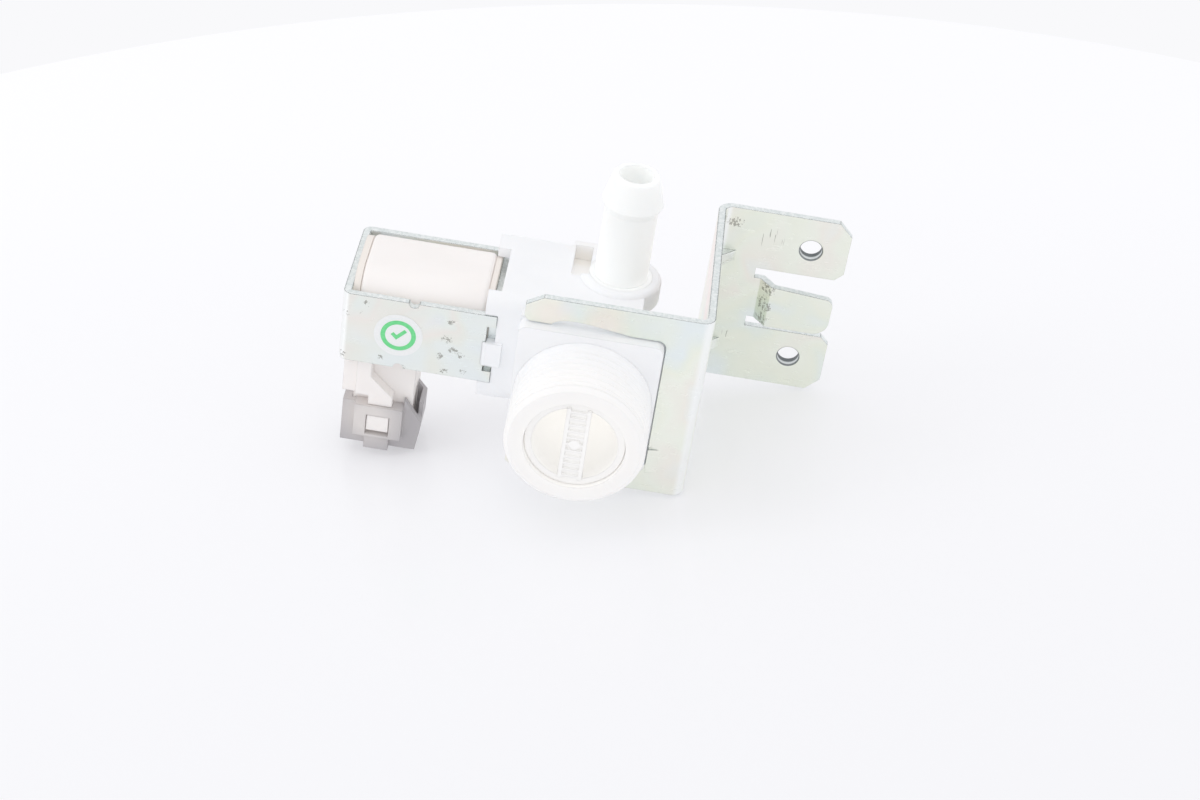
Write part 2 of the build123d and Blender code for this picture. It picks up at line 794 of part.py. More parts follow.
# Flow regulator: perforated holder against the end of the bore, and the rubber washer in its recess.
with BuildPart() as flow_regulator_holder:
    with BuildSketch(facing(holder_front_y)):
        Circle(bore_radius - assembly_gap)
        with PolarLocations(holder_port_circle / 2, holder_ports):
            Circle(holder_port_diameter / 2, mode=Mode.SUBTRACT)
        Circle(holder_centre_hole / 2, mode=Mode.SUBTRACT)
    extrude(amount=-holder_thickness)
    with BuildSketch(facing(holder_front_y)):
        Circle(washer_diameter / 2 + assembly_gap)
    extrude(amount=-holder_recess, mode=Mode.SUBTRACT)
flow_regulator_holder.part.label = "flow_regulator_holder"
export_step(flow_regulator_holder.part, "parts/flow_regulator_holder.step")

with BuildPart() as flow_regulator_washer:
    with BuildSketch(facing(holder_front_y + holder_recess - washer_thickness)):
        Circle(washer_diameter / 2)
        Circle(washer_hole / 2, mode=Mode.SUBTRACT)
    extrude(amount=-washer_thickness)
    fillet(flow_regulator_washer.edges().filter_by(GeomType.CIRCLE).group_by(Axis.Y)[0], washer_thickness / 5)
flow_regulator_washer.part.label = "flow_regulator_washer"
export_step(flow_regulator_washer.part, "parts/flow_regulator_washer.step")


# Diaphragm: rubber disc with a thick rim, clamped between the body's ledge and the guide tube's flange.
coil_axis = Axis((0, coil_y, 0), (1, 0, 0))
with BuildPart() as diaphragm:
    with BuildSketch(Plane.XY):
        rim_radius = chamber_diameter / 2 - running_gap
        with BuildLine():
            Polyline(
                (ledge_x, coil_y + insert_hub_diameter / 2),
                (ledge_x, coil_y + rim_radius),
                (bead_face_x, coil_y + rim_radius),
                (bead_face_x, coil_y + rim_radius - diaphragm_bead_width),
                (diaphragm_face_x, coil_y + rim_radius - diaphragm_bead_width),
                (diaphragm_face_x, coil_y + insert_hub_diameter / 2),
                close=True,
            )
        make_face()
    revolve(axis=coil_axis)
diaphragm.part.label = "diaphragm"
export_step(diaphragm.part, "parts/diaphragm.step")

# Insert through its middle, with the pilot hole, the nose that the armature closes, and guide fins.
with BuildPart() as diaphragm_insert:
    flange_back_x = ledge_x + insert_flange
    with BuildSketch(Plane.XY):
        with BuildLine():
            Polyline(
                (nose_x, coil_y + pilot_hole / 2),
                (nose_x, coil_y + insert_nose_diameter / 2),
                (insert_face_x, coil_y + insert_nose_diameter / 2),
                (insert_face_x, coil_y + insert_plate_diameter / 2),
                (diaphragm_face_x, coil_y + insert_plate_diameter / 2),
                (diaphragm_face_x, coil_y + insert_hub_diameter / 2),
                (ledge_x, coil_y + insert_hub_diameter / 2),
                (ledge_x, coil_y + insert_flange_diameter / 2),
                (flange_back_x, coil_y + insert_flange_diameter / 2),
                (flange_back_x, coil_y + pilot_hole / 2),
                close=True,
            )
        make_face()
    revolve(axis=coil_axis)
    with BuildSketch(across(flange_back_x)):
        with Locations((coil_y, 0)):
            for turn in range(3):
                Rectangle(insert_flange_diameter, insert_fin, rotation=turn * 60)
            Circle(pilot_hole / 2 + insert_fin / 2)
            Circle(pilot_hole / 2, mode=Mode.SUBTRACT)
    extrude(amount=insert_fin_length)
diaphragm_insert.part.label = "diaphragm_insert"
export_step(diaphragm_insert.part, "parts/diaphragm_insert.step")


# Guide tube: closed tube for the armature, with a cupped flange that clamps the diaphragm's rim.
with BuildPart() as guide_tube:
    cup_floor_x = rim_floor_x + tube_flange_wall
    with BuildSketch(Plane.XY):
        with BuildLine():
            Polyline(
                (bead_face_x, coil_y + tube_cavity_diameter / 2),
                (bead_face_x, coil_y + chamber_diameter / 2 - running_gap),
                (rim_floor_x, coil_y + chamber_diameter / 2 - running_gap),
                (rim_floor_x, coil_y + tube_diameter / 2),
                (tube_end_x, coil_y + tube_diameter / 2),
                (tube_end_x, coil_y),
                (tube_inner_end_x, coil_y),
                (tube_inner_end_x, coil_y + tube_bore / 2),
                (cup_floor_x, coil_y + tube_bore / 2),
                (cup_floor_x, coil_y + tube_cavity_diameter / 2),
                close=True,
            )
        make_face()
    revolve(axis=coil_axis)
    fillet(guide_tube.faces().sort_by(Axis.X)[0].edges(), tube_end_wall / 2)
guide_tube.part.label = "guide_tube"
export_step(guide_tube.part, "parts/guide_tube.step")


# Armature: steel plunger with two bleed grooves, a hole for its rubber tip and a pocket for the spring.
with BuildPart() as armature:
    with BuildSketch(across(armature_back_x)):
        with Locations((coil_y, 0)):
            Circle(armature_radius)
            with GridLocations(2 * armature_radius, 0, 2, 1):
                Rectangle(armature_groove, armature_groove, mode=Mode.SUBTRACT)
    extrude(amount=armature_length)
    with BuildSketch(across(armature_back_x)):
        with Locations((coil_y, 0)):
            Circle(armature_pocket_radius)
    extrude(amount=armature_pocket_depth, mode=Mode.SUBTRACT)
    with BuildSketch(across(armature_front_x)):
        with Locations((coil_y, 0)):
            Circle(tip_diameter / 2)
    extrude(amount=-tip_depth, mode=Mode.SUBTRACT)
armature.part.label = "armature"
export_step(armature.part, "parts/armature.step")

with BuildPart() as armature_tip:
    with BuildSketch(across(nose_x)):
        with Locations((coil_y, 0)):
            Circle(tip_diameter / 2)
    extrude(amount=-(tip_depth + armature_nose_setback))
armature_tip.part.label = "armature_tip"
export_step(armature_tip.part, "parts/armature_tip.step")

# Spring between the armature's pocket and the tube's closed end.
spring_start_x = tube_inner_end_x + spring_wire / 2
spring_end_x = armature_back_x + armature_pocket_depth - spring_wire / 2
with BuildPart() as armature_spring:
    with BuildLine() as coils:
        Helix(
            pitch=(spring_end_x - spring_start_x) / spring_turns,
            height=spring_end_x - spring_start_x,
            radius=(spring_diameter - spring_wire) / 2,
            center=(spring_start_x, coil_y, 0),
            direction=(1, 0, 0),
        )
    with BuildSketch(Plane(origin=coils.wire() @ 0, z_dir=coils.wire() % 0)):
        Circle(spring_wire / 2)
    sweep(path=coils.wire(), is_frenet=True)
armature_spring.part.label = "armature_spring"
export_step(armature_spring.part, "parts/armature_spring.step")


# Bobbin, winding and flux bushes of the coil.
with BuildPart() as coil_bobbin:
    with BuildSketch(across(bobbin_left_x)):
        with Locations((coil_y, 0)):
            Circle(bobbin_bore / 2 + bobbin_wall)
    extrude(amount=bobbin_right_x - bobbin_left_x)
    for flange_x, thickness in ((bobbin_left_x, bobbin_flange_left), (coil_right_x, bobbin_flange_right)):
        with BuildSketch(across(flange_x)):
            with Locations((coil_y, 0)):
                RectangleRounded(2 * bobbin_half_depth, 2 * bobbin_half_height, coil_corner - bobbin_inset)
        extrude(amount=thickness)
    with BuildSketch(across(bobbin_left_x)):
        with Locations((coil_y, 0)):
            Circle(bobbin_bore / 2)
    extrude(amount=bobbin_right_x - bobbin_left_x, mode=Mode.SUBTRACT)
coil_bobbin.part.label = "coil_bobbin"
export_step(coil_bobbin.part, "parts/coil_bobbin.step")

with BuildPart() as coil_winding:
    with BuildSketch(across(coil_left_x)):
        with Locations((coil_y, 0)):
            Circle(winding_diameter / 2)
            Circle(bobbin_bore / 2 + bobbin_wall, mode=Mode.SUBTRACT)
    extrude(amount=coil_right_x - coil_left_x)
coil_winding.part.label = "coil_winding"
export_step(coil_winding.part, "parts/coil_winding.step")

with BuildPart() as flux_bush_rear:
    with BuildSketch(across(bobbin_left_x)):
        with Locations((coil_y, 0)):
            Circle(tube_diameter / 2 + assembly_gap + bush_wall)
            Circle(tube_diameter / 2 + assembly_gap, mode=Mode.SUBTRACT)
    extrude(amount=bush_length)
flux_bush_rear.part.label = "flux_bush_rear"
export_step(flux_bush_rear.part, "parts/flux_bush_rear.step")

with BuildPart() as flux_bush_front:
    with BuildSketch(across(bobbin_right_x)):
        with Locations((coil_y, 0)):
            Circle(tube_diameter / 2 + assembly_gap + bush_wall)
            Circle(tube_diameter / 2 + assembly_gap, mode=Mode.SUBTRACT)
    extrude(amount=-bush_length)
flux_bush_front.part.label = "flux_bush_front"
export_step(flux_bush_front.part, "parts/flux_bush_front.step")


# Overmould of the coil, with the terminal shroud below its far end.
with BuildPart() as coil_overmould:
    with BuildSketch(across(coil_left_x)):
        with Locations((coil_y, 0)):
            RectangleRounded(2 * coil_half_depth, 2 * coil_half_height, coil_corner)
    extrude(amount=coil_right_x - coil_left_x)
    ends = coil_overmould.faces().filter_by(Axis.X)
    fillet(ends.edges(), coil_edge)

    # Shroud: open-bottomed box round the two terminals
    with BuildSketch(Plane.XY.offset(shroud_bottom_z)):
        with Locations((shroud_middle_x, shroud_front_y + shroud_depth / 2)):
            Rectangle(shroud_width, shroud_depth)
    extrude(amount=-shroud_bottom_z - coil_half_height + 2 * coil_edge)
    # Left cheek beside it, under the closed end of the yoke, in two steps
    for left_x, front_y in ((cheek_left_x, relief_y + cheek_setback), (cheek_step_x, relief_y)):
        with BuildSketch(facing(front_y)):
            with Locations(((left_x + relief_step_x) / 2, (cheek_bottom_z - strap_half - assembly_gap) / 2)):
                Rectangle(relief_step_x - left_x, -strap_half - assembly_gap - cheek_bottom_z)
        extrude(amount=-(shroud_depth / 2 + shroud_front_y - front_y))
    # Raised relief on the front: step, diagonal and post
    with BuildSketch(facing(relief_y)):
        with BuildLine():
            Polyline(
                (relief_step_x, -coil_half_height + coil_edge),
                (relief_step_x, relief_step_z),
                (relief_post_x, relief_post_z),
                (relief_post_x, latch_frame_top_z + assembly_gap),
                (relief_step_x - relief_lip, latch_frame_top_z + assembly_gap),
                (relief_step_x - relief_lip, -coil_half_height + coil_edge),
                close=True,
            )
        make_face()
    extrude(amount=-(relief_proud + shroud_wall))
    # Latch nose that shows in the plug's window
    with BuildSketch(across(latch_x - latch_width / 2)):
        with BuildLine():
            Polyline(
                (shroud_front_y, latch_top_z),
                (shroud_front_y - latch_proud, latch_top_z),
                (shroud_front_y - latch_proud, latch_top_z - latch_height + latch_lead),
                (shroud_front_y, latch_top_z - latch_height),
                close=True,
            )
        make_face()
    extrude(amount=latch_width)

    # Inside: room for the winding and the bobbin's left flange, and the shroud's open socket
    with Locations(Location((coil_left_x, coil_y, 0), (0, 90, 0))):
        Cylinder(
            winding_diameter / 2 + running_gap,
            coil_right_x - coil_left_x,
            align=(Align.CENTER, Align.CENTER, Align.MIN),
            mode=Mode.SUBTRACT,
        )
    with BuildSketch(across(coil_left_x)):
        with Locations((coil_y, 0)):
            RectangleRounded(
                2 * (bobbin_half_depth + running_gap),
                2 * (bobbin_half_height + running_gap),
                coil_corner - bobbin_inset + running_gap,
            )
    extrude(amount=-(bobbin_flange_left + assembly_gap), mode=Mode.SUBTRACT)
    with BuildSketch(Plane.XY.offset(shroud_bottom_z)):
        with Locations((shroud_middle_x, terminal_y)):
            Rectangle(shroud_width - 2 * shroud_wall, shroud_depth - 2 * shroud_wall)
    extrude(amount=shroud_roof_z - shroud_bottom_z, mode=Mode.SUBTRACT)
    # Slits for the terminals
    with BuildSketch(Plane.XY.offset(shroud_roof_z - running_gap)):
        with Locations(*[(x, terminal_y) for x in terminal_xs]):
            Rectangle(terminal_thickness, terminal_width)
    extrude(amount=terminal_top_z - shroud_roof_z + running_gap, mode=Mode.SUBTRACT)
coil_overmould.part.label = "coil_overmould"
export_step(coil_overmould.part, "parts/coil_overmould.step")

# Two blade terminals, each with its locking hole.
terminal_names = ("terminal_left", "terminal_right")
for name, x in zip(terminal_names, terminal_xs):
    with BuildPart() as terminal:
        with BuildSketch(across(x - terminal_thickness / 2)) as blade:
            with Locations((terminal_y, (terminal_top_z + terminal_bottom_z) / 2)):
                Rectangle(terminal_width, terminal_top_z - terminal_bottom_z)
            chamfer(blade.vertices().group_by(Axis.Z)[0], terminal_width / 6)
            with Locations((terminal_y, terminal_bottom_z + terminal_width / 2)):
                Circle(terminal_hole / 2, mode=Mode.SUBTRACT)
        extrude(amount=terminal_thickness)
    terminal.part.label = name
    export_step(terminal.part, "parts/" + name + ".step")


# Yoke strap: steel strip bent to a U round the coil.
with BuildPart() as yoke_strap:
    with BuildSketch(Plane.XY.offset(-strap_half)) as strip:
        with BuildLine():
            Polyline(
                (strap_open_x, strap_front_y),
                (strap_closed_x, strap_front_y),
                (strap_closed_x, strap_back_y),
                (strap_open_x, strap_back_y),
                (strap_open_x, leg_inner_back_y),
                (strap_web_inner_x, leg_inner_back_y),
                (strap_web_inner_x, leg_inner_front_y),
                (strap_open_x, leg_inner_front_y),
                close=True,
            )
        make_face()
        fillet(strip.vertices().group_by(Axis.X)[0], strap_bend_inside + sheet)
        inner = [v for v in strip.vertices() if abs(v.X - strap_web_inner_x) < running_gap]
        fillet(inner, strap_bend_inside)
    extrude(amount=strap_height)
    # Notch in the open end of each leg
    with BuildSketch(facing(strap_front_y - sheet)):
        with Locations((strap_open_x, 0)):
            Rectangle(2 * strap_notch_depth, strap_notch_height)
    extrude(amount=-(strap_depth + 2 * sheet), mode=Mode.SUBTRACT)
    # Small half-round marks punched in both edges of the front leg
    with BuildSketch(facing(strap_front_y - sheet)):
        with Locations((strap_mark_x, strap_half), (strap_mark_x - strap_mark_step, -strap_half)):
            Circle(strap_mark_radius)
    extrude(amount=-3 * sheet, mode=Mode.SUBTRACT)
    # Hole for the end of the guide tube
    with Locations(Location((strap_closed_x, coil_y, 0), (0, 90, 0))):
        Cylinder(
            tube_diameter / 2 + assembly_gap,
            sheet,
            align=(Align.CENTER, Align.CENTER, Align.MIN),
            mode=Mode.SUBTRACT,
        )
yoke_strap.part.label = "yoke_strap"
export_step(yoke_strap.part, "parts/yoke_strap.step")

# End plate that closes the magnetic circuit between the legs.
with BuildPart() as yoke_end_plate:
    with BuildSketch(across(end_plate_left_x)):
        with Locations((coil_y, 0)):
            Rectangle(strap_depth - 2 * sheet, strap_height)
            Circle(tube_diameter / 2 + assembly_gap, mode=Mode.SUBTRACT)
    extrude(amount=end_plate_thickness)
yoke_end_plate.part.label = "yoke_end_plate"
export_step(yoke_end_plate.part, "parts/yoke_end_plate.step")

# Round label on the front leg.
with BuildPart() as label:
    with BuildSketch(facing(strap_front_y)):
        with Locations((label_x, 0)):
            Circle(label_diameter / 2)
    extrude(amount=label_thickness)
label.part.label = "label"
export_step(label.part, "parts/label.step")


# Plug housing on the shroud, with its latch frame in front and a contact in each chamber.
with BuildPart() as plug_housing:
    rear_right_x = shroud_right_x + assembly_gap + plug_right_wall
    with BuildSketch(facing(plug_front_y)):
        with Locations(((plug_left_x + rear_right_x) / 2, shroud_bottom_z + (plug_overlap_rear - plug_under) / 2)):
            Rectangle(rear_right_x - plug_left_x, plug_under + plug_overlap_rear)
    extrude(amount=plug_front_y - plug_back_y)
    # Deeper collar round the shroud's front, with a cheek on the right that leaves a pocket
    with BuildSketch(facing(plug_front_y)):
        with BuildLine():
            Polyline(
                (plug_left_x, plug_bottom_z),
                (plug_left_x, plug_rim_z),
                (frame_right_x, plug_rim_z),
                (frame_right_x, plug_cheek_z),
                (shroud_right_x + assembly_gap, plug_cheek_z),
                (plug_right_x, plug_rim_z),
                (plug_right_x, plug_bottom_z + plug_corner_rise),
                (plug_right_x - plug_corner_cut, plug_bottom_z),
                close=True,
            )
        make_face()
    extrude(amount=-plug_collar_depth)
    with BuildSketch(facing(plug_front_y)):
        with BuildLine():
            Polyline(
                (shroud_right_x - plug_notch_run, plug_cheek_z),
                (plug_right_x, plug_cheek_z - plug_notch_fall),
                (plug_right_x + plug_notch_run, plug_cheek_z - plug_notch_fall),
                (plug_right_x + plug_notch_run, plug_cheek_z),
                close=True,
            )
        make_face()
    extrude(amount=-plug_notch_depth, mode=Mode.SUBTRACT)
    with BuildSketch(Plane.XY.offset(shroud_bottom_z + plug_cheek_floor)):
        cheek_inner_x = plug_right_x - plug_cheek_wall
        cheek_front_y = plug_front_y + plug_front_wall
        cheek_back_y = plug_front_y + plug_collar_depth - plug_front_wall
        with Locations(((shroud_right_x + cheek_inner_x) / 2, (cheek_front_y + cheek_back_y) / 2)):
            Rectangle(cheek_inner_x - shroud_right_x, cheek_back_y - cheek_front_y)
    extrude(amount=plug_overlap + plug_cheek_rise, mode=Mode.SUBTRACT)
    # Latch frame, with its window and the foot below it
    with BuildSketch(facing(frame_front_y)):
        with Locations((latch_x, latch_frame_top_z - latch_frame_height / 2)):
            Rectangle(latch_frame_width, latch_frame_height)
    extrude(amount=-(latch_frame_proud + plug_front_wall))
    with BuildSketch(facing(frame_front_y + latch_foot_setback)):
        foot_top_z = latch_frame_top_z - latch_frame_height
        foot_bottom_z = plug_bottom_z - latch_foot_drop
        with Locations((latch_x, (foot_top_z + foot_bottom_z) / 2)):
            Rectangle(latch_foot_width, foot_top_z - foot_bottom_z)
    extrude(amount=-(latch_frame_proud + plug_front_wall - latch_foot_setback))
    with BuildSketch(facing(frame_front_y)):
        window_top_z = latch_top_z + latch_window_margin
        window_bottom_z = latch_top_z - latch_height - latch_gap_below
        with Locations((latch_x, (window_top_z + window_bottom_z) / 2)):
            Rectangle(latch_width + 2 * latch_window_margin, window_top_z - window_bottom_z)
    extrude(amount=-(latch_frame_proud + plug_front_wall + assembly_gap), mode=Mode.SUBTRACT)
    # Socket for the shroud
    with BuildSketch(Plane.XY.offset(shroud_bottom_z - assembly_gap)):
        with Locations((shroud_middle_x, terminal_y)):
            Rectangle(shroud_width + 2 * assembly_gap, shroud_depth + 2 * assembly_gap)
    extrude(amount=-shroud_bottom_z, mode=Mode.SUBTRACT)
    # Core inside the shroud, which carries the contacts, and the wire entries
    with BuildSketch(Plane.XY.offset(plug_bottom_z + plug_floor / 2)):
        with Locations((shroud_middle_x, terminal_y)):
            Rectangle(
                shroud_width - 2 * (shroud_wall + assembly_gap),
                shroud_depth - 2 * (shroud_wall + assembly_gap),
            )
    extrude(amount=shroud_roof_z - assembly_gap - plug_bottom_z - plug_floor / 2)
    with BuildSketch(Plane.XY.offset(plug_bottom_z + plug_floor)):
        with Locations(*[(x, terminal_y) for x in terminal_xs]):
            Rectangle(terminal_thickness + 2 * contact_side, terminal_width + 2 * contact_side)
    extrude(amount=-plug_bottom_z, mode=Mode.SUBTRACT)
    with BuildSketch(Plane.XY.offset(plug_bottom_z)):
        with Locations(*[(x, terminal_y) for x in terminal_xs]):
            Circle(wire_hole / 2)
    extrude(amount=plug_floor, mode=Mode.SUBTRACT)
plug_housing.part.label = "plug_housing"
export_step(plug_housing.part, "parts/plug_housing.step")

contact_names = ("plug_contact_left", "plug_contact_right")
for name, x in zip(contact_names, terminal_xs):
    with BuildPart() as contact:
        with BuildSketch(Plane.XY.offset(plug_bottom_z + plug_floor)):
            with Locations((x, terminal_y)):
                Rectangle(
                    terminal_thickness + 2 * contact_wall + 2 * running_gap,
                    terminal_width + 2 * contact_wall + 2 * running_gap,
                )
                Rectangle(
                    terminal_thickness + 2 * running_gap,
                    terminal_width + 2 * running_gap,
                    mode=Mode.SUBTRACT,
                )
        extrude(amount=contact_length)
    contact.part.label = name
    export_step(contact.part, "parts/" + name + ".step")
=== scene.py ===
import math

import bmesh
import bpy
from mathutils import Matrix, Vector


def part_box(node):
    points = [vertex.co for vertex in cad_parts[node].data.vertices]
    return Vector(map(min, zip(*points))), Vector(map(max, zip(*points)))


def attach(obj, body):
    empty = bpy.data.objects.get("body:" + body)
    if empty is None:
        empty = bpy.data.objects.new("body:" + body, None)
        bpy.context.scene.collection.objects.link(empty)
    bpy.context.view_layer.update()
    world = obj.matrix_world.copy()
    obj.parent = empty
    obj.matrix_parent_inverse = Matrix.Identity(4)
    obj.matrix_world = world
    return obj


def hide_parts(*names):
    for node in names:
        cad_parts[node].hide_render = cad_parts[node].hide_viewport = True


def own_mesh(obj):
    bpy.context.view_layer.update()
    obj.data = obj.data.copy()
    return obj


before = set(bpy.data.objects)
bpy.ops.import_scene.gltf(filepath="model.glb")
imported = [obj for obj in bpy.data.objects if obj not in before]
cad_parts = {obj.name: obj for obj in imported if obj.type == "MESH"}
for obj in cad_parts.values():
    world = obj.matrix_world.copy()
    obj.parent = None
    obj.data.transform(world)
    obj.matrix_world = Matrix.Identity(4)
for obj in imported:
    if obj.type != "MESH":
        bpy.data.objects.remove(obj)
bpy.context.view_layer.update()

# The view
# The valve is looked at from the front and above, and lies tipped 9 degrees to the left on the table.
# The camera stands 0.44 m away with a 70 mm lens. Its axes are written in the valve's own frame.
scene = bpy.context.scene
scene.view_settings.view_transform = "Standard"
eye = Vector((0.0020, -0.3579, 0.2601))
sight = Vector((0.0031, 0.8099, -0.5865)).normalized()
eye_right = Vector((0.9871, 0.0914, 0.1314)).normalized()
eye_up = eye_right.cross(sight).normalized()
camera_data = bpy.data.cameras.new("view")
camera_data.sensor_width = 36
camera_data.lens = 70.3
camera_data.clip_start = 0.01
camera_data.dof.use_dof = False
camera = bpy.data.objects.new("view", camera_data)
camera.matrix_world = Matrix(
    (
        (eye_right.x, eye_up.x, -sight.x, eye.x),
        (eye_right.y, eye_up.y, -sight.y, eye.y),
        (eye_right.z, eye_up.z, -sight.z, eye.z),
        (0, 0, 0, 1),
    )
)
scene.collection.objects.link(camera)
scene.camera = camera


# The table
# A round white turntable of opal acrylic, 0.6 m across, with a painted glow. The valve lies on it on the
# lower right corners of its bracket and on its plug, so in the valve's frame the table is tilted.
def linear(value):
    """Turns an sRGB hex colour to Blender's linear colour, and leaves any other value as it is."""
    if not isinstance(value, str):
        return value
    parts = [int(value[i : i + 2], 16) / 255 for i in (1, 3, 5)]
    return [c / 12.92 if c <= 0.04045 else ((c + 0.055) / 1.055) ** 2.4 for c in parts] + [1]


def add(tree, kind, inputs=None, output=0, stops=(), **settings):
    """Adds one shader node with its settings and links, and returns one of its outputs.

    Colours may be hex. Stops are the places and colours of a colour ramp.
    """
    made = tree.nodes.new("ShaderNode" + kind)
    for name, value in settings.items():
        setattr(made, name, value)
    for name, value in (inputs or {}).items():
        if isinstance(value, bpy.types.NodeSocket):
            tree.links.new(value, made.inputs[name])
        else:
            made.inputs[name].default_value = linear(value)
    if stops:
        marks = made.color_ramp.elements
        while len(marks) < len(stops):
            marks.new(0.5)
        for mark, (place, colour) in zip(marks, stops):
            mark.position = place
            mark.color = linear(colour)
    return made.outputs[output] if made.outputs else None


def new_material(name):
    """An empty material with its node tree."""
    material = bpy.data.materials.new(name)
    material.use_nodes = True
    material.node_tree.nodes.clear()
    return material, material.node_tree


table_normal = Vector((-0.158, 0.0879, 0.9835)).normalized()
table_centre = Vector((0.0029, -0.0336, -0.0206))
table_radius = 0.3016

mesh = bpy.data.meshes.new("table_top")
top = bmesh.new()
bmesh.ops.create_circle(top, cap_ends=True, segments=256, radius=table_radius)
top.transform(table_normal.to_track_quat("Z", "Y").to_matrix().to_4x4())
bmesh.ops.translate(top, verts=top.verts, vec=table_centre)
top.to_mesh(mesh)
top.free()
table = bpy.data.objects.new("table_top", mesh)
scene.collection.objects.link(table)

# Opal acrylic, polished: nearly white, with a faint clear reflection. Its glow is painted light: an emission
# that keeps the shadows pale and is weaker towards the front. Seen from below it is clear.
front_y, front_glow = -0.12, 0.34
back_y, back_glow = 0.16, 0.39
acrylic, tree = new_material("opal_acrylic_painted_glow")
depth = add(tree, "SeparateXYZ", {0: add(tree, "NewGeometry", output="Position")}, output="Y")
# Painted light: the table's emission, weaker towards the front
painted_table_glow = add(
    tree,
    "MapRange",
    {"Value": depth, "From Min": front_y, "From Max": back_y, "To Min": front_glow, "To Max": back_glow},
)
board = add(
    tree,
    "BsdfPrincipled",
    {
        "Base Color": "#CDCDCF",
        "Roughness": 0.2,
        "IOR": 1.38,
        "Emission Color": "#FAFAFC",
        "Emission Strength": painted_table_glow,
    },
)
clear = add(tree, "BsdfTransparent")
underside = add(tree, "NewGeometry", output="Backfacing")
sides = add(tree, "MixShader", {0: underside, 1: board, 2: clear})
add(tree, "OutputMaterial", {"Surface": sides})
table.data.materials.append(acrylic)


# The light
# A white light tent: even light from all round, a large softbox overhead and two smaller ones at the sides.
# Seen directly, or in gloss, the tent is its white cloth. The light that it gives is a little weaker.
tent = bpy.data.worlds.new("light_tent")
scene.world = tent
tent.use_nodes = True
tree = tent.node_tree
tree.nodes.clear()
seen = add(tree, "LightPath", output="Is Camera Ray")
for ray in ("Is Glossy Ray", "Is Transmission Ray"):
    seen = add(tree, "Math", {0: seen, 1: add(tree, "LightPath", output=ray)}, operation="MAXIMUM")
cloth = add(tree, "Background", {"Color": "#F9F9FB", "Strength": 1.0})
glow = add(tree, "Background", {"Color": "#FAFAFC", "Strength": 0.86})
add(tree, "OutputWorld", {"Surface": add(tree, "MixShader", {0: seen, 1: glow, 2: cloth})})

valve_middle = Vector((0.0, 0.015, 0.0))
for name, place, width, height, watts in (
    ("overhead_softbox", (-0.20, -0.10, 0.85), 0.9, 0.7, 0.75),
    ("left_softbox", (-0.75, -0.25, 0.33), 0.35, 0.45, 0.85),
    ("right_softbox", (0.72, -0.30, 0.33), 0.35, 0.45, 0.35),
):
    lamp_data = bpy.data.lights.new(name, "AREA")
    lamp_data.shape = "RECTANGLE"
    lamp_data.size = width
    lamp_data.size_y = height
    lamp_data.energy = watts
    lamp = bpy.data.objects.new(name, lamp_data)
    lamp.location = place
    lamp.rotation_euler = (valve_middle - Vector(place)).to_track_quat("-Z", "Y").to_euler()
    scene.collection.objects.link(lamp)


# Mounting bracket
# One strip of 1.5 mm steel sheet, cut out and folded to a Z in a press tool, then zinc plated and clear
# passivated. Its front plate is pushed on round the inlet's flange, and two drawn holes in its rear plate
# take screws.
def dress(material, *names):
    """Gives CAD nodes their finish."""
    for name in names:
        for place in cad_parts[name].material_slots:
            place.link = "OBJECT"
            place.material = material


def in_millimetres(tree):
    """Where a point lies in the valve's frame, in millimetres."""
    return add(tree, "VectorMath", {0: add(tree, "TexCoord", output="Object"), 3: 1000.0}, operation="SCALE")


def in_places(tree, point, places):
    """The strength of the strongest of some soft spheres: x, y, z, radius in mm and strength."""
    strength = 0.0
    for x, y, z, reach, most in places:
        gap = add(tree, "VectorMath", {0: point, 1: (x, y, z)}, output="Value", operation="DISTANCE")
        core = reach * 0.3
        near = add(tree, "MapRange", {"Value": gap, "From Min": reach, "From Max": core, "To Max": most})
        strength = add(tree, "Math", {0: near, 1: strength}, operation="MAXIMUM")
    return strength


# A mix node has sockets for every kind of data: its colours are inputs 6 and 7 and output 2
of_colours = {"data_type": "RGBA", "output": 2}

# In millimetres: how far from its middle the web's bends and its own faces reach, and a screw hole's size
bend_reach = 4.5
web_reach = 1.7
hole_radius = 2.25
hole_depth = 2.4


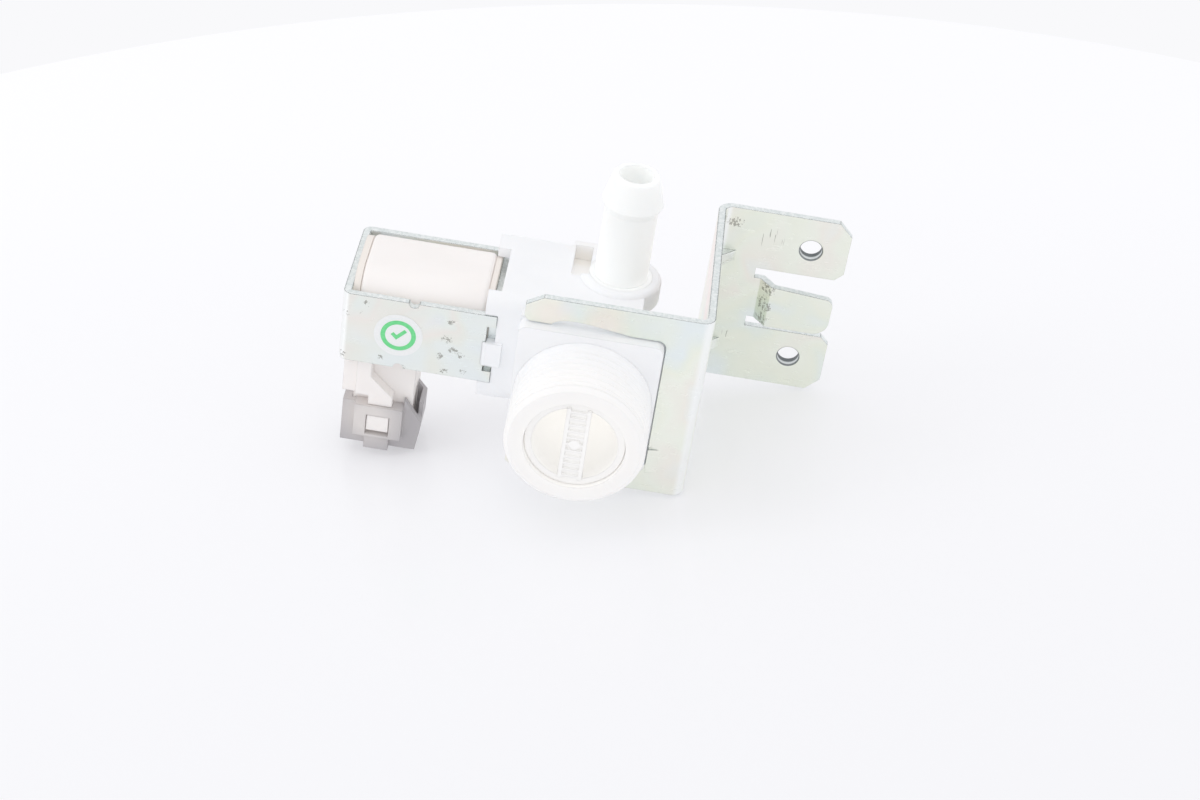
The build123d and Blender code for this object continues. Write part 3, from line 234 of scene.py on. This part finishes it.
def passivated_zinc(name, film_stops, web_x, scuffs, scratches, blushes, film_seed, drawn_holes=()):
    """Zinc plated sheet with a thin clear chromate film, and bare sheared edges.

    To the eye it is bright, satin and faintly iridescent: yellow, green, pink and blue run into each other
    in soft patches. The web stands at web_x. Worn, scratched and blushed places are spheres: x, y, z, radius
    in mm and strength. Drawn holes are given by x, front and z, in mm.
    """
    material, tree = new_material(name)
    point = in_millimetres(tree)
    shifted = add(tree, "VectorMath", {0: point, 1: (film_seed, 0, film_seed)}, operation="ADD")
    normal = add(tree, "TexCoord", output="Normal")
    leans = [add(tree, "SeparateXYZ", {0: normal}, output=axis) for axis in "XYZ"]
    sideways, frontways, upways = [add(tree, "Math", {0: lean}, operation="ABSOLUTE") for lean in leans]
    from_web = add(tree, "SeparateXYZ", {0: point}, output="X")
    from_web = add(tree, "Math", {0: from_web, 1: web_x}, operation="SUBTRACT")
    from_web = add(tree, "Math", {0: from_web}, operation="ABSOLUTE")

    # The film's patches are about 14 mm across, 0.07 to a millimetre. Where it is thicker it blushes pink
    patches = add(
        tree,
        "TexNoise",
        {"Vector": shifted, "Scale": 0.07, "Detail": 2, "Roughness": 0.45, "Distortion": 0.4},
    )
    film = add(tree, "ValToRGB", {"Fac": patches}, stops=film_stops)
    film = add(tree, "Mix", {0: in_places(tree, point, blushes), 6: film, 7: "#FBEFEA"}, **of_colours)

    # Painted highlight: on the bends beside the web, where the normal turns from X to Y, the film is painted
    # near white
    bent = add(tree, "Math", {0: sideways, 1: frontways}, operation="MINIMUM")
    bent = add(tree, "MapRange", {"Value": bent, "From Min": 0.12, "From Max": 0.5})
    beside = {"Value": from_web, "From Min": bend_reach, "From Max": bend_reach - 1, "To Max": 0.8}
    painted_bend_highlight = add(tree, "Math", {0: bent, 1: add(tree, "MapRange", beside)}, operation="MULTIPLY")
    film = add(tree, "Mix", {0: painted_bend_highlight, 6: film, 7: "#FCFEFE"}, **of_colours)

    # Rolling marks 0.4 mm apart, drawn along the strip, and a spangle of 1.1 mm
    stretched = add(tree, "VectorMath", {0: shifted, 1: (0.35, 0.35, 3.0)}, operation="MULTIPLY")
    rolling = add(tree, "TexNoise", {"Vector": stretched, "Scale": 0.8, "Detail": 3, "Roughness": 0.6})
    spangle = add(tree, "TexNoise", {"Vector": point, "Scale": 0.9, "Detail": 4, "Roughness": 0.65})

    # Scuffs, where the plating is worn to dark specks under a millimetre across, and scratches about 0.2 mm
    # wide and 5 mm long. Away from their places no texture reaches the limit
    unworn = 0.9
    specks = add(tree, "TexNoise", {"Vector": point, "Scale": 1.5, "Detail": 5, "Roughness": 0.72})
    scored = add(tree, "VectorMath", {0: point, 1: (3.2, 3.2, 0.16)}, operation="MULTIPLY")
    scored = add(tree, "TexNoise", {"Vector": scored, "Scale": 1.0, "Detail": 1})
    marks = 0.0
    for places, texture, worn in ((scuffs, specks, 0.42), (scratches, scored, 0.56)):
        near = in_places(tree, point, places)
        limit = add(tree, "MapRange", {"Value": near, "To Min": unworn, "To Max": worn})
        over = add(tree, "Math", {0: texture, 1: limit}, operation="SUBTRACT")
        mark = add(tree, "MapRange", {"Value": over, "From Max": 0.03})
        marks = add(tree, "Math", {0: mark, 1: marks}, operation="MAXIMUM")
    darkened = add(tree, "Math", {0: marks, 1: 0.7}, operation="MULTIPLY")
    plate = add(tree, "Mix", {0: darkened, 6: film, 7: "#8A887F"}, **of_colours)

    # Sheared edges, paler and rougher: faces that look up or down, and end faces off the web
    upward = add(tree, "Math", {0: upways, 1: 0.6}, operation="GREATER_THAN")
    endways = add(tree, "Math", {0: frontways, 1: 0.45}, operation="LESS_THAN")
    off_web = add(tree, "Math", {0: from_web, 1: web_reach}, operation="GREATER_THAN")
    ends = add(tree, "Math", {0: endways, 1: off_web}, operation="MULTIPLY")
    sheared = add(tree, "Math", {0: upward, 1: ends}, operation="MAXIMUM")
    edge = add(tree, "ValToRGB", {"Fac": specks}, stops=[(0.40, "#DDE3E2"), (0.62, "#F1F4F3")])

    # A dark burr, about 0.3 mm wide, runs along the borders of the punch side, which is the front
    rounded = add(tree, "Bevel", {"Radius": 0.0004}, samples=4)
    flat = add(tree, "NewGeometry", output="Normal")
    turn = add(tree, "VectorMath", {0: rounded, 1: flat}, output="Value", operation="DOT_PRODUCT")
    border = add(tree, "MapRange", {"Value": turn, "From Min": 0.995, "From Max": 0.92})
    forward = add(tree, "SeparateXYZ", {0: rounded}, output="Y")
    forward = add(tree, "MapRange", {"Value": forward, "From Min": 0.25, "From Max": 0.0})
    burr = add(tree, "Math", {0: border, 1: forward}, operation="MULTIPLY")
    edge = add(tree, "Mix", {0: burr, 6: edge, 7: "#6E7371"}, **of_colours)
    tone = add(tree, "Mix", {0: sheared, 6: plate, 7: edge}, **of_colours)

    # The punch draws a screw hole's wall smooth. Its wall is painted: a painted highlight band between two
    # bands of painted shade, the far one darkest
    painted_hole_bands = [(0.04, "#83888A"), (0.18, "#A4A9AA"), (0.30, "#F0F3F3"), (0.48, "#E4E8E8"), (0.62, "#777C7E")]
    for x, front, z in drawn_holes:
        inward = add(tree, "SeparateXYZ", {0: point}, output="Y")
        inward = add(
            tree, "MapRange", {"Value": inward, "From Min": front - 0.1, "From Max": front + hole_depth}
        )
        # Painted shade and highlight down the hole's wall
        painted_hole_wall = add(tree, "ValToRGB", {"Fac": inward}, stops=painted_hole_bands)
        gap = add(tree, "VectorMath", {0: point, 1: (1, 0, 1)}, operation="MULTIPLY")
        gap = add(tree, "VectorMath", {0: gap, 1: (x, 0, z)}, output="Value", operation="DISTANCE")
        bored = add(
            tree, "MapRange", {"Value": gap, "From Min": hole_radius + 0.25, "From Max": hole_radius + 0.11}
        )
        tone = add(tree, "Mix", {0: bored, 6: tone, 7: painted_hole_wall}, **of_colours)

    rough = add(
        tree,
        "MapRange",
        {"Value": rolling, "From Min": 0.3, "From Max": 0.7, "To Min": 0.26, "To Max": 0.40},
    )
    rough = add(tree, "Math", {0: sheared, 1: 0.2, 2: rough}, operation="MULTIPLY_ADD")
    relief = add(tree, "Math", {0: rolling, 1: spangle}, operation="ADD")
    relief = add(tree, "Math", {0: relief, 1: marks}, operation="SUBTRACT")
    # Sheared and folded corners are broken by about 0.18 mm
    corner = add(tree, "Bevel", {"Radius": 0.00018}, samples=4)
    bump = add(tree, "Bump", {"Height": relief, "Normal": corner, "Strength": 0.2, "Distance": 0.00003})
    surface = add(
        tree, "BsdfPrincipled", {"Base Color": tone, "Metallic": 1.0, "Roughness": rough, "Normal": bump}
    )
    add(tree, "OutputMaterial", {"Surface": surface})
    return material


# On the bracket the film is greenish yellow with blue and pink patches, pinkest on the web. The rear bend
# and the joggle of the tongue are scuffed, and the ears are scratched.
bracket_zinc = passivated_zinc(
    "passivated_zinc_bracket",
    film_stops=[
        (0.32, "#ECF3F3"),
        (0.43, "#EFF4EA"),
        (0.50, "#F2F5E9"),
        (0.57, "#F3F6EC"),
        (0.66, "#F4F2EA"),
        (0.76, "#F0F5F4"),
    ],
    web_x=21.6,
    scuffs=[
        (24.5, 44.5, 17, 3.5, 0.85),
        (33.4, 43.5, 4.0, 4.2, 0.84),
        (33.4, 43.5, 0.0, 4.2, 0.84),
        (33.4, 43.5, -4.0, 4.2, 0.84),
        (22, 2, 8, 3.0, 0.5),
        (21, 3, -14, 4.0, 0.5),
        (32, 45.2, -6, 2.5, 0.65),
    ],
    scratches=[(32.5, 45.2, 14, 4.5, 0.9), (26.5, 45.2, -10, 3.0, 0.8)],
    blushes=[(20.7, 18, 17, 14, 1.0), (20.7, 34, 15, 13, 1.0), (-8, 2, 17, 5, 0.5), (2, 2, 17, 5, 0.5)],
    film_seed=3.0,
    drawn_holes=[(40.55, 45.24, 13.1), (40.55, 45.24, -13.1)],
)
dress(bracket_zinc, "mounting_bracket")


# Valve body
# One moulding of glass-filled polyamide with every passage of the valve in it. Its collar carries a 3/4 inch
# pipe thread, moulded with it: 1.814 mm pitch, shallow and soft, cut back at both ends.
def moulded_plastic(
    name,
    colour,
    roughness,
    grain_mm,
    grain_strength,
    glow=0.0,
    glow_reach=0.001,
    corner_mm=0.3,
    painted_glow=0.035,
    toned_places=(),
    toned="#F4F1EC",
    painted_glow_places=(),
):
    """A moulded thermoplastic with the fine texture of a spark-eroded mould.

    Glow is the light that scatters under its skin. A faint emission in the plastic's own colour is painted
    light that lifts its shade evenly. In toned places, which are spheres in mm, the colour goes over to
    another one, and in the places of stronger glow, also spheres in mm, the painted glow is stronger.
    """
    material, tree = new_material(name)
    point = in_millimetres(tree)
    texture = add(tree, "TexNoise", {"Vector": point, "Scale": 1 / grain_mm, "Detail": 3, "Roughness": 0.6})
    # The melt's flow leaves faint patches about 11 mm across, 0.09 to a millimetre
    flow = add(tree, "TexNoise", {"Vector": point, "Scale": 0.09, "Detail": 2, "Roughness": 0.5})
    glossiest, dullest = roughness - 0.06, roughness + 0.06
    rough = add(
        tree,
        "MapRange",
        {"Value": flow, "From Min": 0.3, "From Max": 0.7, "To Min": glossiest, "To Max": dullest},
    )
    shade = [part * 0.975 for part in linear(colour)[:3]] + [1]
    tone = add(tree, "ValToRGB", {"Fac": flow}, stops=[(0.35, shade), (0.62, colour)])
    if toned_places:
        near = in_places(tree, point, toned_places)
        tone = add(tree, "Mix", {0: near, 6: tone, 7: toned}, **of_colours)
    # Painted light: in these places the emission glows stronger
    if painted_glow_places:
        painted_glow = add(tree, "Math", {0: in_places(tree, point, painted_glow_places), 1: painted_glow}, operation="ADD")
    corner = add(tree, "Bevel", {"Radius": corner_mm / 1000}, samples=4)
    bump = add(
        tree, "Bump", {"Height": texture, "Normal": corner, "Strength": grain_strength, "Distance": 0.00004}
    )
    surface = add(
        tree,
        "BsdfPrincipled",
        {
            "Base Color": tone,
            "Roughness": rough,
            "IOR": 1.5,
            "Normal": bump,
            "Subsurface Weight": glow,
            "Subsurface Scale": glow_reach,
            "Subsurface Radius": (1.0, 0.95, 0.9),
            # The emission is painted light in the plastic's own colour, which lifts its shade
            "Emission Color": tone,
            "Emission Strength": painted_glow,
        },
    )
    add(tree, "OutputMaterial", {"Surface": surface})
    return material


# Polyamide as moulded: satin and bluish white, with its shade softened by the light in its skin and by a
# painted glow. Painted light makes it warmer in the moulding pocket beside the nozzle and towards the
# collar's mouth.
body_polyamide = moulded_plastic(
    "moulded_polyamide_body",
    "#F6F7F9",
    roughness=0.42,
    grain_mm=0.5,
    grain_strength=0.2,
    glow=0.3,
    glow_reach=0.0008,
    painted_glow=0.06,
    # The warm tone in these places is painted light
    toned_places=[
        (-4.3, 27, 6, 6.0, 1.0),
        (-4.3, 31.5, 6, 6.0, 1.0),
        (-4.3, 34.8, 8, 6.0, 1.0),
        (0, -17, 0, 24, 0.8),
    ],
    # The painted glow is stronger in the pocket, round the nozzle's boss and in the collar
    painted_glow_places=[
        (-4.3, 29, 6, 7.0, 0.12),
        (3.5, 26, 9, 9.0, 0.06),
        (9, 26, 5, 7.0, 0.16),
        (0, -15, 0, 20, 0.08),
    ],
)

# In millimetres. The groove deepens over the lead at the mouth and over the runout at the flange
thread_crest = 13.22
thread_pitch = 1.814
thread_depth = 0.8
thread_front = -13.7
thread_rim = 0.2
thread_lead = 1.2
thread_start = 0.77
thread_runout = 2.2
on_crest = 0.03

body_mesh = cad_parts["valve_body"].data.copy()
shape = bmesh.new()
shape.from_mesh(body_mesh)
smooth_wall = [
    face
    for face in shape.faces
    if all(
        abs(math.hypot(v.co.x, v.co.z) * 1000 - thread_crest) < on_crest and v.co.y * 1000 < on_crest
        for v in face.verts
    )
]
bmesh.ops.delete(shape, geom=smooth_wall, context="FACES")

turn_steps = 144
pitch_steps = 12
rows = math.ceil(-thread_front / thread_pitch * pitch_steps)
rings = []
for row in range(rows + 1):
    y = thread_front * (1 - row / rows)
    lead_in = min(1, max(0, (y - thread_front - thread_rim) / thread_lead))
    run_out = min(1, max(0, (-y - thread_start) / thread_runout))
    ring = []
    for step in range(turn_steps):
        turn = step / turn_steps
        groove = 0.5 - 0.5 * math.cos(math.tau * (y / thread_pitch - turn))
        radius = thread_crest - thread_depth * groove * lead_in * run_out
        angle = math.tau * turn
        place = (radius * math.cos(angle) / 1000, y / 1000, radius * math.sin(angle) / 1000)
        ring.append(shape.verts.new(place))
    rings.append(ring)
for lower, upper in zip(rings, rings[1:]):
    for step in range(turn_steps):
        after = (step + 1) % turn_steps
        face = shape.faces.new((lower[step], upper[step], upper[after], lower[after]))
        face.smooth = True
shape.to_mesh(body_mesh)
shape.free()
body = bpy.data.objects.new("threaded_valve_body", body_mesh)
scene.collection.objects.link(body)
body_mesh.materials.clear()
body_mesh.materials.append(body_polyamide)
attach(body, "valve")
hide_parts("valve_body")


# Hose nozzle
# Moulded of natural polypropylene and spin welded into the body's boss. To the eye it is milky and a little
# glossier than the body. A painted glow lifts its shade, most at the tip and low on the right.
nozzle_milk = moulded_plastic(
    "milky_polypropylene_nozzle",
    "#F0F1F0",
    roughness=0.34,
    grain_mm=0.7,
    grain_strength=0.1,
    glow=0.4,
    corner_mm=0.35,
    painted_glow=0.17,
    # The painted glow is stronger at the tip and low on the right
    painted_glow_places=[(3.5, 26, 35, 5.0, 0.06), (8, 26, 18, 12.0, 0.08)],
)
dress(nozzle_milk, "outlet_nozzle")


# Strainer and flow regulator
# Both are moulded of natural polyamide and pushed into the collar: a basket with a ladder bar across its
# mouth, and behind it the holder of the rubber washer that keeps the flow even.
# To the eye it is thin, matt and a warmer white than the body, and a painted glow lifts its shade.
strainer_polyamide = moulded_plastic(
    "moulded_polyamide_strainer",
    "#F6F5F3",
    roughness=0.5,
    grain_mm=0.6,
    grain_strength=0.2,
    painted_glow=0.11,
    # The painted glow is stronger in the collar's bore
    painted_glow_places=[(0, -2.0, 0, 14.0, 0.13)],
)
dress(strainer_polyamide, "inlet_strainer", "flow_regulator_holder")

# Nitrile rubber, moulded: nearly black and dull, with a faint bloom in specks of 1.1 mm
rubber, tree = new_material("moulded_nitrile_rubber")
point = in_millimetres(tree)
bloom = add(tree, "TexNoise", {"Vector": point, "Scale": 0.9, "Detail": 4, "Roughness": 0.6})
tone = add(tree, "ValToRGB", {"Fac": bloom}, stops=[(0.35, "#1B1B1C"), (0.7, "#2B2B2C")])
bump = add(tree, "Bump", {"Height": bloom, "Strength": 0.3, "Distance": 0.00003})
surface = add(tree, "BsdfPrincipled", {"Base Color": tone, "Roughness": 0.62, "IOR": 1.52, "Normal": bump})
add(tree, "OutputMaterial", {"Surface": surface})
dress(rubber, "flow_regulator_washer", "diaphragm", "armature_tip")


# Diaphragm insert and guide tube
# Moulded of natural acetal, because both guide a moving piece: the insert fills the middle of the diaphragm,
# and the tube, closed at its far end, holds the armature. To the eye it is waxy, smooth and off-white.
acetal = moulded_plastic(
    "moulded_acetal", "#EFEFEA", roughness=0.3, grain_mm=0.8, grain_strength=0.1, glow=0.2
)
dress(acetal, "diaphragm_insert", "guide_tube")


# Armature and its spring
# The armature is a plunger turned from ferritic stainless steel. The lathe leaves fine rings round it, light
# and dark by turns, 0.15 mm apart and drawn at 0.3 mm. The spring is coiled from wire of the same look.
ring_mm = 0.3
turned, tree = new_material("turned_stainless_steel")
# A wave texture of scale 1 has a band every tau / 20
lathe_rings = add(
    tree,
    "TexWave",
    {"Vector": in_millimetres(tree), "Scale": math.tau / 20 / ring_mm, "Distortion": 0.4, "Detail": 2},
    output="Fac",
    bands_direction="X",
)
rough = add(tree, "MapRange", {"Value": lathe_rings, "To Min": 0.22, "To Max": 0.36})
bump = add(tree, "Bump", {"Height": lathe_rings, "Strength": 0.15, "Distance": 0.00002})
tone = add(tree, "ValToRGB", {"Fac": lathe_rings}, stops=[(0.0, "#B9BABB"), (1.0, "#CBCBCC")])
surface = add(
    tree, "BsdfPrincipled", {"Base Color": tone, "Metallic": 1.0, "Roughness": rough, "Normal": bump}
)
add(tree, "OutputMaterial", {"Surface": surface})
dress(turned, "armature")

# The spring is its own copy of the CAD spring, carried with the valve
spring = bpy.data.objects.new("coiled_armature_spring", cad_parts["armature_spring"].data.copy())
scene.collection.objects.link(spring)
spring.data.materials.clear()
spring.data.materials.append(turned)
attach(spring, "valve")
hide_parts("armature_spring")
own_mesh(spring)


# Coil
# A bobbin moulded of polyamide, wound with enamelled copper wire and moulded over with polyester. The
# bobbin's end flanges show at both ends. The terminals below the coil meet the plug's contacts.
# The overmould is matt and a warm, faintly pink white. The bobbin is cream, with a little more gloss.
coil_polyester = moulded_plastic(
    "moulded_polyester_coil",
    "#FCF7F4",
    roughness=0.5,
    grain_mm=0.4,
    grain_strength=0.3,
    glow=0.2,
    corner_mm=0.4,
)
dress(coil_polyester, "coil_overmould")
bobbin_polyamide = moulded_plastic(
    "moulded_polyamide_bobbin", "#F4EDE6", roughness=0.45, grain_mm=0.5, grain_strength=0.25
)
dress(bobbin_polyamide, "coil_bobbin")

# Enamelled copper wire: glossy red brown turns with dark grooves, 0.2 mm apart and drawn at 0.5 mm
wire_mm = 0.5
copper, tree = new_material("wound_enamelled_copper")
turns = add(
    tree,
    "TexWave",
    {"Vector": in_millimetres(tree), "Scale": math.tau / 20 / wire_mm, "Distortion": 0.2},
    output="Fac",
    bands_direction="X",
)
tone = add(tree, "ValToRGB", {"Fac": turns}, stops=[(0.0, "#7A3F20"), (1.0, "#C9784A")])
bump = add(tree, "Bump", {"Height": turns, "Strength": 0.8, "Distance": 0.0001})
surface = add(
    tree, "BsdfPrincipled", {"Base Color": tone, "Metallic": 1.0, "Roughness": 0.3, "Normal": bump}
)
add(tree, "OutputMaterial", {"Surface": surface})
dress(copper, "coil_winding")

# Tinned brass, stamped from strip: soft grey-yellow metal, dulled in patches of 1.4 mm
tinned, tree = new_material("tinned_brass")
dull = add(tree, "TexNoise", {"Vector": in_millimetres(tree), "Scale": 0.7, "Detail": 4, "Roughness": 0.6})
tone = add(tree, "ValToRGB", {"Fac": dull}, stops=[(0.35, "#C8C3AE"), (0.65, "#D9D6C8")])
rough = add(
    tree, "MapRange", {"Value": dull, "From Min": 0.3, "From Max": 0.7, "To Min": 0.25, "To Max": 0.42}
)
surface = add(tree, "BsdfPrincipled", {"Base Color": tone, "Metallic": 1.0, "Roughness": rough})
add(tree, "OutputMaterial", {"Surface": surface})
dress(tinned, "terminal_left", "terminal_right", "plug_contact_left", "plug_contact_right")


# Yoke
# A strap and an end plate of the same plated steel as the bracket, sheared, bent and pushed together round
# the coil, with two rolled sleeves in the bobbin's bore. They carry the coil's magnetic field.
# The film is thinner than the bracket's, so it looks greyer. The front leg is speckled with corrosion.
yoke_zinc = passivated_zinc(
    "passivated_zinc_yoke",
    film_stops=[
        (0.30, "#EAF0F1"),
        (0.42, "#ECF1EE"),
        (0.50, "#EDEFE8"),
        (0.58, "#EFEDE7"),
        (0.66, "#ECF1EC"),
        (0.76, "#E8EEF1"),
    ],
    web_x=-47.6,
    scuffs=[
        (-27.2, 11.7, 5.0, 1.8, 0.85),
        (-27.6, 11.7, 0.8, 2.2, 0.89),
        (-26.2, 11.7, -1.6, 2.0, 0.85),
        (-28.7, 11.7, -3.3, 1.6, 0.85),
        (-24.6, 11.7, -2.5, 1.8, 0.81),
        (-45.0, 11.7, 4.3, 1.4, 0.81),
        (-43.6, 11.7, 6.2, 1.6, 0.81),
        (-40.1, 11.7, -5.8, 1.5, 0.85),
        (-35.5, 11.7, -7.3, 1.6, 0.89),
        (-27.6, 11.7, -6.7, 1.6, 0.85),
        (-23.7, 11.7, -6.2, 1.6, 0.81),
        (-47.5, 12.2, -6.5, 2.0, 0.81),
        (-47.6, 12.2, 3.0, 2.5, 0.71),
        (-34.0, 11.7, 7.3, 1.4, 0.81),
    ],
    scratches=[],
    blushes=[(-44, 11.7, 1, 5, 0.2), (-31, 11.7, 3, 4, 0.2)],
    film_seed=41.0,
)
dress(yoke_zinc, "yoke_strap", "yoke_end_plate", "flux_bush_rear", "flux_bush_front")


# Label
# A round label stuck to the yoke, die cut from coated paper: smooth, white and matt, with fibres of 0.3 mm.
# It carries a plain inspection mark, a ring and a tick, printed in one clear green ink.
paper, tree = new_material("coated_paper")
fibre = add(tree, "TexNoise", {"Vector": in_millimetres(tree), "Scale": 3.5, "Detail": 4, "Roughness": 0.7})
tone = add(tree, "ValToRGB", {"Fac": fibre}, stops=[(0.3, "#F1F3F3"), (0.7, "#F9FAFA")])
bump = add(tree, "Bump", {"Height": fibre, "Strength": 0.15, "Distance": 0.00002})
surface = add(tree, "BsdfPrincipled", {"Base Color": tone, "Roughness": 0.55, "Normal": bump})
add(tree, "OutputMaterial", {"Surface": surface})
dress(paper, "label")

# Printing ink: flat green, a touch uneven in spots of 0.6 mm
ink, tree = new_material("green_printing_ink")
cover = add(tree, "TexNoise", {"Vector": in_millimetres(tree), "Scale": 1.8, "Detail": 3, "Roughness": 0.6})
tone = add(tree, "ValToRGB", {"Fac": cover}, stops=[(0.3, "#6ADC8C"), (0.7, "#80E69E")])
surface = add(tree, "BsdfPrincipled", {"Base Color": tone, "Roughness": 0.45})
add(tree, "OutputMaterial", {"Surface": surface})

# The mark's sizes are in millimetres from the label's middle
ring_inner = 2.55
ring_outer = 3.45
ring_steps = 72
tick = [(-1.5, 0.1), (-0.95, 0.65), (-0.35, 0.05), (1.15, 1.55), (1.65, 1.0), (-0.35, -1.05)]
ink_thickness = 0.00002
label_low, label_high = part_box("label")
label_middle = (label_low + label_high) / 2
ink_y = label_low.y - ink_thickness
mark = bmesh.new()
inner = []
outer = []
for step in range(ring_steps):
    angle = math.tau * step / ring_steps
    for radius, ring in ((ring_inner, inner), (ring_outer, outer)):
        x = label_middle.x + radius * math.cos(angle) / 1000
        z = label_middle.z + radius * math.sin(angle) / 1000
        ring.append(mark.verts.new((x, ink_y, z)))
for step in range(ring_steps):
    after = (step + 1) % ring_steps
    mark.faces.new((inner[step], inner[after], outer[after], outer[step]))
corners = [mark.verts.new((label_middle.x + x / 1000, ink_y, label_middle.z + z / 1000)) for x, z in tick]
mark.faces.new((corners[0], corners[1], corners[2], corners[5]))
mark.faces.new((corners[2], corners[3], corners[4], corners[5]))
bmesh.ops.recalc_face_normals(mark, faces=mark.faces)
mesh = bpy.data.meshes.new("label_print")
mark.to_mesh(mesh)
mark.free()
label_print = bpy.data.objects.new("label_print", mesh)
scene.collection.objects.link(label_print)
mesh.materials.append(ink)
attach(label_print, "valve")


# Plug
# Moulded of grey polyamide, pushed onto the coil's terminal shroud and held by a latch in its window. To the
# eye it is matt and opaque, with crisp corners. The latch frame stands proud, and painted light makes it a
# warmer, lighter grey.
plug_polyamide = moulded_plastic(
    "moulded_polyamide_plug",
    "#BAB7B9",
    roughness=0.5,
    grain_mm=0.5,
    grain_strength=0.35,
    corner_mm=0.25,
    # Painted light: the proud latch frame is painted lighter and warmer
    toned_places=[(-41.5, 13.5, -22, 8.5, 1.0)],
    toned="#E0DBD8",
)
dress(plug_polyamide, "plug_housing")
